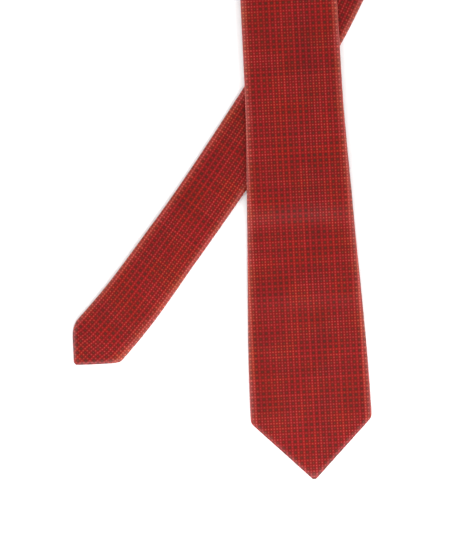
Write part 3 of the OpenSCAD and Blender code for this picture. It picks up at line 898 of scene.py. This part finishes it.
def tipping(name, start, end, where, node):
    """The thin lining behind a point, which settles a little into the open kite."""
    whole = shell_rings(0, END_FOLD) if start < END_FOLD else shell_rings(TAIL_FOLD, TOTAL_LEN)
    rings = rings_within(whole, start, end)
    share_across = np.linspace(1, -1, 41)
    u = np.stack([share_across * np.where(share_across > 0, side_half(s, 1) - TIPPING_INSET,
                                          side_half(s, -1) - TIPPING_INSET) for s in rings])
    s = np.repeat(rings[:, None], u.shape[1], 1)
    gap = np.array([gap_at(r) for r in rings])[:, None]
    crease = 0.12 * np.sin(u / 5 + s / 7) * np.sin(s / 13 + 0.8)
    n = TIPPING_N - (0.55 + crease) * ramp(gap - abs(u), 0.6, 6)
    places = point(s, u, n)
    piece = cloth_grid(name, places, np.stack([u, s], -1), TIPPING_T, LINING)
    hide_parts(node)
    bend_with(piece, where)


def hem_stitches(name, node, where, at_tail, first, last, pitch):
    """Small stitches that catch the tipping over the edge of both hems."""
    routes = []
    for side in (-1, 1):
        for d in np.arange(first, last, pitch):
            s = TOTAL_LEN - d if at_tail else d
            edge = gap_at(s)
            way = -1 if at_tail else 1
            routes.append(rounded_route(
                [[s + way * 0.6, side * (edge - 0.9), TIPPING_N - 0.1],
                 [s + way * 0.35, side * (edge - 0.35), 0.45],
                 [s, side * (edge + 0.25), -0.10],
                 [s - way * 0.3, side * (edge + 0.9), -0.09],
                 [s - way * 0.5, side * (edge + 1.3), 0.14]], 9))
    piece = thread(name, routes, 0.24, 6)
    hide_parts(node)
    bend_with(piece, where)


def satin_tack(name, node, where, start, end, depth, at, along_tie=False):
    """A bar tack: thread wound closely from start to end. It lies across the tie at the place
    along it that at gives, or along the tie on both sides, that far from its middle."""
    turns = max(6, round(abs(end - start) / 0.42))
    t = np.linspace(0, 1, turns * 10 + 1)
    wind = 2 * np.pi * turns * t
    run = start + (end - start) * t
    swing = TACK_W / 2 * np.cos(wind)
    n = -depth + 0.13 * np.sin(wind)
    if along_tie:
        routes = [np.stack([run, side * at + swing, n], -1) for side in (-1, 1)]
    else:
        routes = [np.stack([at + swing, run, n], -1)]
    piece = thread(name, routes, 0.3, 6)
    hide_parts(node)
    bend_with(piece, where)


tipping("blade_tipping_lining", TIP_INSET, END_FOLD - 2, "blade_end", "blade_tipping")
tipping("tail_tipping_lining", TOTAL_LEN - 72, TOTAL_LEN - TIP_INSET, "tail_end", "tail_tipping")
hem_stitches("blade_hem_thread", "blade_hem_stitches", "blade_end", False,
             HEM_W * math.sqrt(2) + 2, BLADE_OPEN_LEN - 6, 3.2)
hem_stitches("tail_hem_thread", "tail_hem_stitches", "tail_end", True,
             TAIL_HEM_W * math.sqrt(2) + 2, TAIL_OPEN_LEN - 5, 2.8)
satin_tack("blade_bar_tack_thread", "blade_bar_tack", "blade_end", -4.5, 4.5, 0.16,
           BLADE_OPEN_LEN + TACK_W)
satin_tack("tail_bar_tack_thread", "tail_bar_tack", "tail_end", -4, 4, 0.16,
           TOTAL_LEN - TAIL_OPEN_LEN - TACK_W)


# ---- keeper loop and labels on the back ----

LABEL_T = 0.25
CARE_S = TOTAL_LEN - 108
CARE_LEN = 30
CARE_W = 20
CARE_T = 0.2


def keeper():
    """A folded strip of the same silk, sewn down at both ends and slack between them."""
    across = np.linspace(-KEEPER_LEN / 2, KEEPER_LEN / 2, 53)
    q = (across + KEEPER_LEN / 2) / KEEPER_LEN
    sag = KEEPER_SLACK * ramp(np.minimum(q, 1 - q), 0.04, 0.3)
    turn = np.linspace(0, 2 * np.pi, 33)[:-1]
    half, thick = KEEPER_W / 2, 2 * CLOTH_T
    across_turn = np.cos(turn)
    profile_s = (np.sign(across_turn) * (half - thick / 2) * abs(across_turn) ** 0.5
                 + thick / 2 * across_turn)
    profile_n = thick / 2 * np.sin(turn)
    s = KEEPER_S + half + profile_s[None, :] + 0 * across[:, None]
    n = -GAP - thick / 2 - sag[:, None] + profile_n[None, :]
    loops = point(s, across[:, None] + 0 * s, n)
    piece = closed_strand("keeper_loop_silk", loops, SILK)
    corner_loop = np.zeros(len(piece.data.loops), np.int32)
    piece.data.loops.foreach_get("vertex_index", corner_loop)
    row, column = corner_loop // len(turn), corner_loop % len(turn)
    uv = np.stack([across[row] / CELL_ACROSS,
                   (profile_s[column] + profile_n[column]) / CELL_ALONG], -1)
    piece.data.uv_layers["weave"].data.foreach_set("uv", uv.astype(np.float32).reshape(-1))
    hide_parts("keeper_loop")
    bend_with(piece, "blade_middle")


def label(name, node, where, start, end, half_len, thickness, finish, sag):
    """A blank woven label, a little slack between its stitched ends."""
    s_rows = stations(start, end, 1.4)
    u = np.linspace(half_len, -half_len, 41)[None, :] + 0 * s_rows[:, None]
    s = s_rows[:, None] + 0 * u
    q = np.minimum(half_len - abs(u), 8) / 8
    n = -GAP - thickness - sag * smooth(q) * (0.6 + 0.4 * np.sin(u / 7 + s / 6))
    places = point(s, u, n)
    middle = (start + end) / 2
    piece = cloth_grid(name, places, np.stack([u, s - middle], -1), thickness, finish)
    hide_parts(node)
    bend_with(piece, where)


def edge_stitches(name, where, start, end, half_len, thickness, count, node=None):
    """Whip stitches over both short ends of a label."""
    routes = []
    for side in (-1, 1):
        for s in start + (end - start) * (np.arange(count) + 0.5) / count:
            routes.append(rounded_route(
                [[s - 0.4, side * (half_len - 1.3), -GAP - thickness + 0.05],
                 [s - 0.2, side * (half_len - 0.8), -GAP - thickness - 0.14],
                 [s + 0.2, side * (half_len + 0.1), -GAP - thickness - 0.10],
                 [s + 0.5, side * (half_len + 0.7), 0.06]], 9))
    piece = thread(name, routes, 0.22, 6)
    if node:
        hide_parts(node)
    bend_with(piece, where)


keeper()
satin_tack("keeper_tacks", "keeper_stitches", "blade_middle", KEEPER_S + 1.2,
           KEEPER_S + KEEPER_W - 1.2, 2 * CLOTH_T + 2 * GAP + 0.12, KEEPER_LEN / 2 - 1.8,
           along_tie=True)
label("blank_label", "maker_label", "blade_end", LABEL_S, LABEL_S + LABEL_W, LABEL_LEN / 2,
      LABEL_T, LABEL, 0.12)
edge_stitches("label_thread", "blade_end", LABEL_S, LABEL_S + LABEL_W, LABEL_LEN / 2, LABEL_T, 8,
              "label_stitches")
label("care_label_tape", "care_label", "tail_end", CARE_S, CARE_S + CARE_W, CARE_LEN / 2, CARE_T,
      TAPE, 0.06)
edge_stitches("care_label_thread", "tail_end", CARE_S, CARE_S + CARE_W, CARE_LEN / 2, CARE_T, 9)


# ---- seams of the neck piece ----

def neck_seam(name, node, at):
    path = section(at)
    steps = np.gradient(path, axis=0)
    steps /= np.linalg.norm(steps, axis=1)[:, None]
    inward = np.stack([-steps[:, 1], steps[:, 0]], -1) * (CLOTH_T / 2)
    route = np.column_stack([np.full(len(path), at), path + inward])
    piece = thread(name, [route], THREAD_D, 6)
    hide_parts(node)
    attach(piece, "neck")


neck_seam("blade_neck_seam_thread", "blade_neck_seam", BLADE_SEAM)
neck_seam("tail_neck_seam_thread", "tail_neck_seam", TAIL_SEAM)

# ---- camera, light and floor ----

VIEW_MIDDLE = (-0.0422, -0.2010)
VIEW_HEIGHT = 0.3794
CAMERA_HEIGHT = 2.4

camera = bpy.data.objects.new("camera", bpy.data.cameras.new("camera"))
bpy.context.scene.collection.objects.link(camera)
camera.location = (*VIEW_MIDDLE, CAMERA_HEIGHT)
camera.data.sensor_width = 36
camera.data.lens = 36 * CAMERA_HEIGHT / VIEW_HEIGHT
bpy.context.scene.camera = camera


def softbox(name, where, aim, size, watts):
    light = bpy.data.objects.new(name, bpy.data.lights.new(name, "AREA"))
    bpy.context.scene.collection.objects.link(light)
    light.data.shape = "RECTANGLE"
    light.data.size, light.data.size_y = size
    light.data.energy = watts
    light.location = where
    light.rotation_euler = (Vector(aim) - Vector(where)).to_track_quat("-Z", "Y").to_euler()
    light.visible_camera = False


softbox("left_softbox", (-1.6, -0.3, 0.55), (-0.05, -0.15, 0), (0.9, 2.0), 21)
softbox("right_softbox", (1.6, -0.2, 0.55), (0, -0.15, 0), (0.9, 2.0), 19)
softbox("front_softbox", (0.1, -1.0, 0.6), (0, -0.3, 0), (1.4, 0.5), 13)
softbox("back_softbox", (0, 1.6, 1.2), (0, 0.1, 0), (2.0, 1.0), 2)

# The sky is dimmer overhead, so that flat silk doesn't mirror it
sky = Finish("studio", "worlds")
sky_height = sky.node("ShaderNodeSeparateXYZ", None, {0: sky.node("ShaderNodeTexCoord")}, 2)
brightness = sky.node("ShaderNodeMapRange", {"interpolation_type": "SMOOTHSTEP"},
                      {0: sky_height, 1: 0.80, 2: 0.985, 3: 0.85, 4: 0.06})
backdrop = sky.node("ShaderNodeBackground", None, {0: (1, 1, 1, 1), 1: brightness})
sky.node("ShaderNodeOutputWorld", None, {0: backdrop})
bpy.context.scene.world = sky.material
bpy.context.scene.view_settings.view_transform = "Standard"

floor_finish = Finish("floor")
floor_place = floor_finish.node("ShaderNodeTexCoord", None, None, "Object")
grain = floor_finish.noise(floor_place, 40.0, 3.0)
floor_material = floor_finish.cloth(
    floor_finish.mix(grain, (0.93, 0.93, 0.93, 1), (0.96, 0.96, 0.96, 1)), 0.9,
    floor_finish.bump(grain, 0.0001, 0.2), **{"Specular IOR Level": 0.1})
bpy.ops.object.select_all(action="DESELECT")
bpy.ops.mesh.primitive_plane_add(size=12, location=(0, 0, -0.0003))
floor = bpy.context.active_object
floor.name = "floor"
floor.data.materials.append(floor_material)
